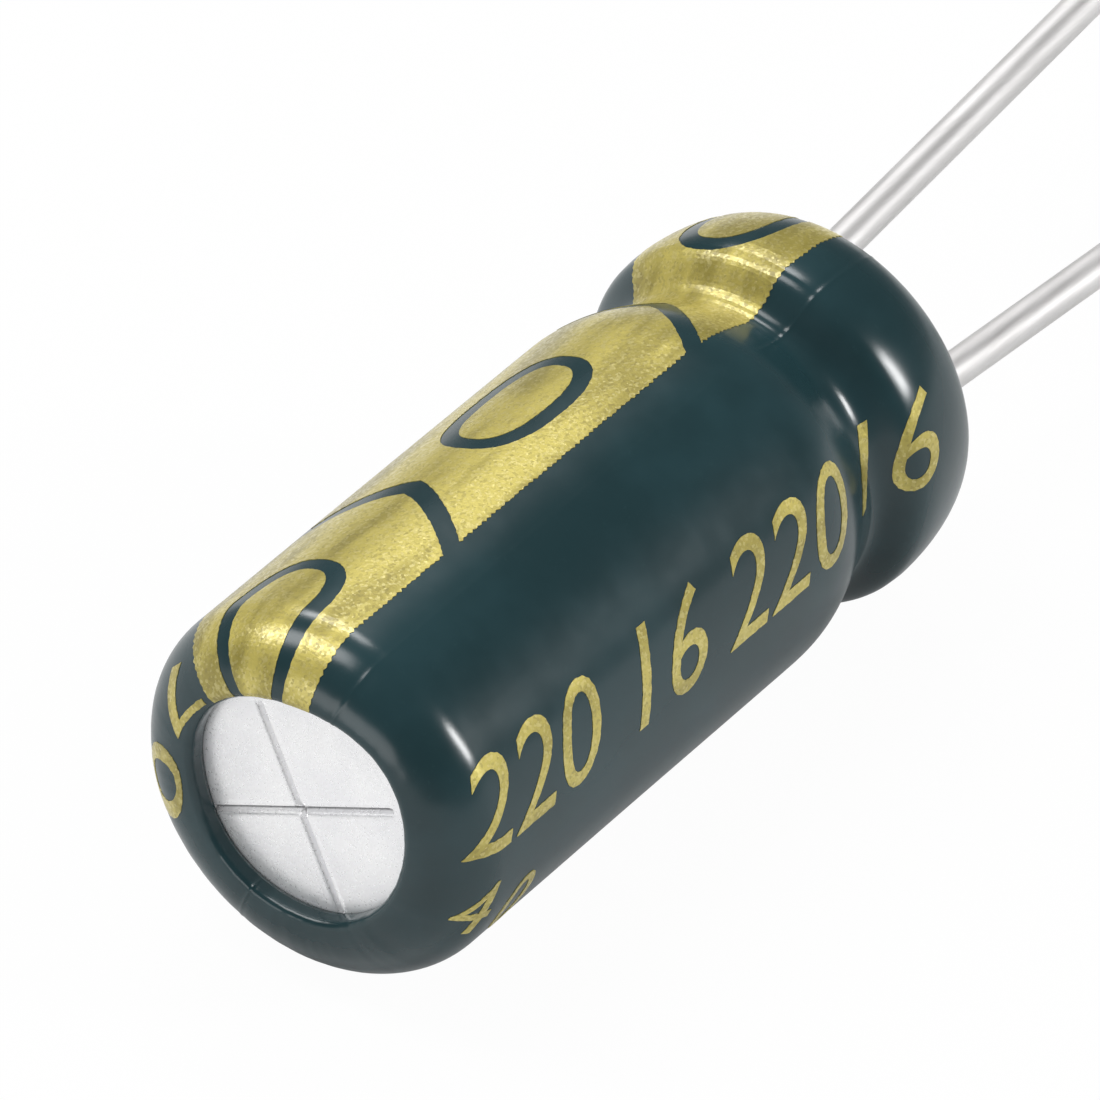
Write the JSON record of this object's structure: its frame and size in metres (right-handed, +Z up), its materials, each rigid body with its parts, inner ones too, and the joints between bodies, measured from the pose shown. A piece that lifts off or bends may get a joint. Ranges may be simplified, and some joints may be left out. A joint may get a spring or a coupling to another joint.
{
  "type": "electrolytic capacitor",
  "caption": "Small radial aluminium electrolytic capacitor: sleeved, crimped can with a scored vent end, rubber stopper, wound foil element and splayed lead wires, lying on its side.",
  "frame": {"origin": "centre of the flat face of the lead end, on the axis of the can", "axes": "+X along the axis, out of the lead end; +Z up, as the capacitor lies on a table; +Y makes it right-handed"},
  "size_m": [0.0347, 0.006, 0.0054],
  "materials": {
    "sleeve_film": "dark green shrunk film with a soft gloss",
    "gold_ink": "speckled metallic gold print under the gloss of the film",
    "can_metal": "bright drawn aluminium, satin",
    "stopper_rubber": "moulded, matt",
    "tinned_wire": "bright tin plate with fine drawing marks",
    "tab_metal": "plain aluminium",
    "anode_foil": "etched and formed, matt grey",
    "cathode_foil": "etched, light grey",
    "separator_paper": "thin kraft paper wet with electrolyte",
    "closing_tape": "thin gummed tape"
  },
  "bodies": {
    "root": {"sleeve": "sleeve_film", "polarity_stripe": "gold_ink", "can": "can_metal", "stopper": "stopper_rubber", "anode_lead": "tinned_wire", "cathode_lead": "tinned_wire", "anode_tab": "tab_metal", "cathode_tab": "tab_metal", "anode_foil": "anode_foil", "cathode_foil": "cathode_foil", "inner_separator": "separator_paper", "outer_separator": "separator_paper", "closing_tape": "closing_tape"}
  },
  "joints": []
}
